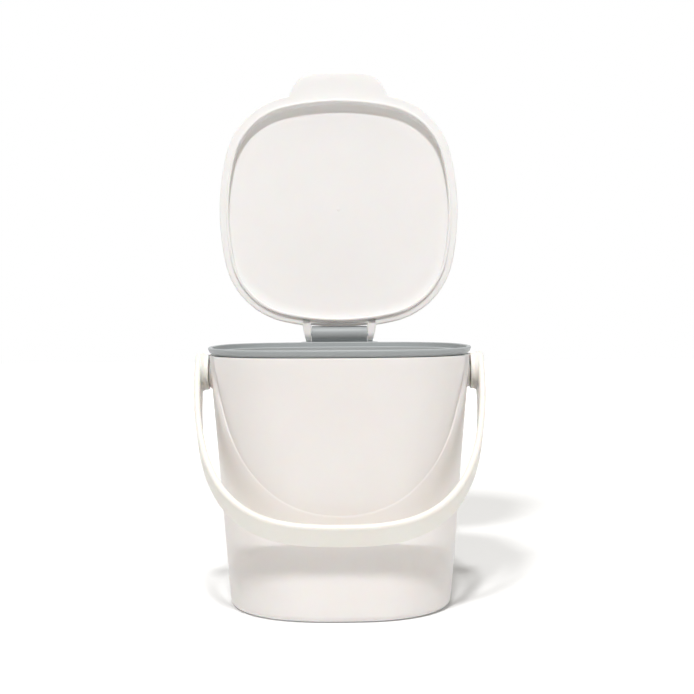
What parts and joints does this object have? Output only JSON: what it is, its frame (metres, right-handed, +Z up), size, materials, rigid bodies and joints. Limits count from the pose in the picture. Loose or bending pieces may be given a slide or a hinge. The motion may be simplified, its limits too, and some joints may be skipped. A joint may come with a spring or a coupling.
{
  "type": "countertop compost bin",
  "caption": "White tapered rounded-square pail with a grey lift-off rim collar, a rear-hinged lid with a front tab, and a swinging strap handle.",
  "frame": {"origin": "middle of the flat underside of the pail, on the surface it stands on", "axes": "+Z up, -Y towards the front where the handle hangs, +X to the right as seen from the front"},
  "size_m": [0.2094, 0.239, 0.4061],
  "materials": {
    "white_plastic": "smooth moulded, soft gloss",
    "grey_plastic": "smooth moulded, soft gloss",
    "pin_steel": "drawn wire"
  },
  "bodies": {
    "pail": {"bin_body": "white_plastic"},
    "collar": {"rim_collar": "grey_plastic", "hinge_pin": "pin_steel"},
    "lid": {"lid": "white_plastic"},
    "handle": {"handle": "white_plastic", "handle_pivot_left": "white_plastic", "handle_pivot_right": "white_plastic"}
  },
  "joints": [
    {"name": "collar_lift", "type": "slide", "parent": "pail", "child": "collar", "axis": [0, 0, 1], "range_m": [0, 0.02]},
    {"name": "lid_hinge", "type": "hinge", "parent": "collar", "child": "lid", "pos_m": [0, 0.10263, 0.1906], "axis": [1, 0, 0], "range_deg": [0, 99]},
    {"name": "handle_swing", "type": "hinge", "parent": "pail", "child": "handle", "pos_m": [0, 0, 0.1655], "axis": [-1, 0, 0], "range_deg": [0, 175]}
  ]
}
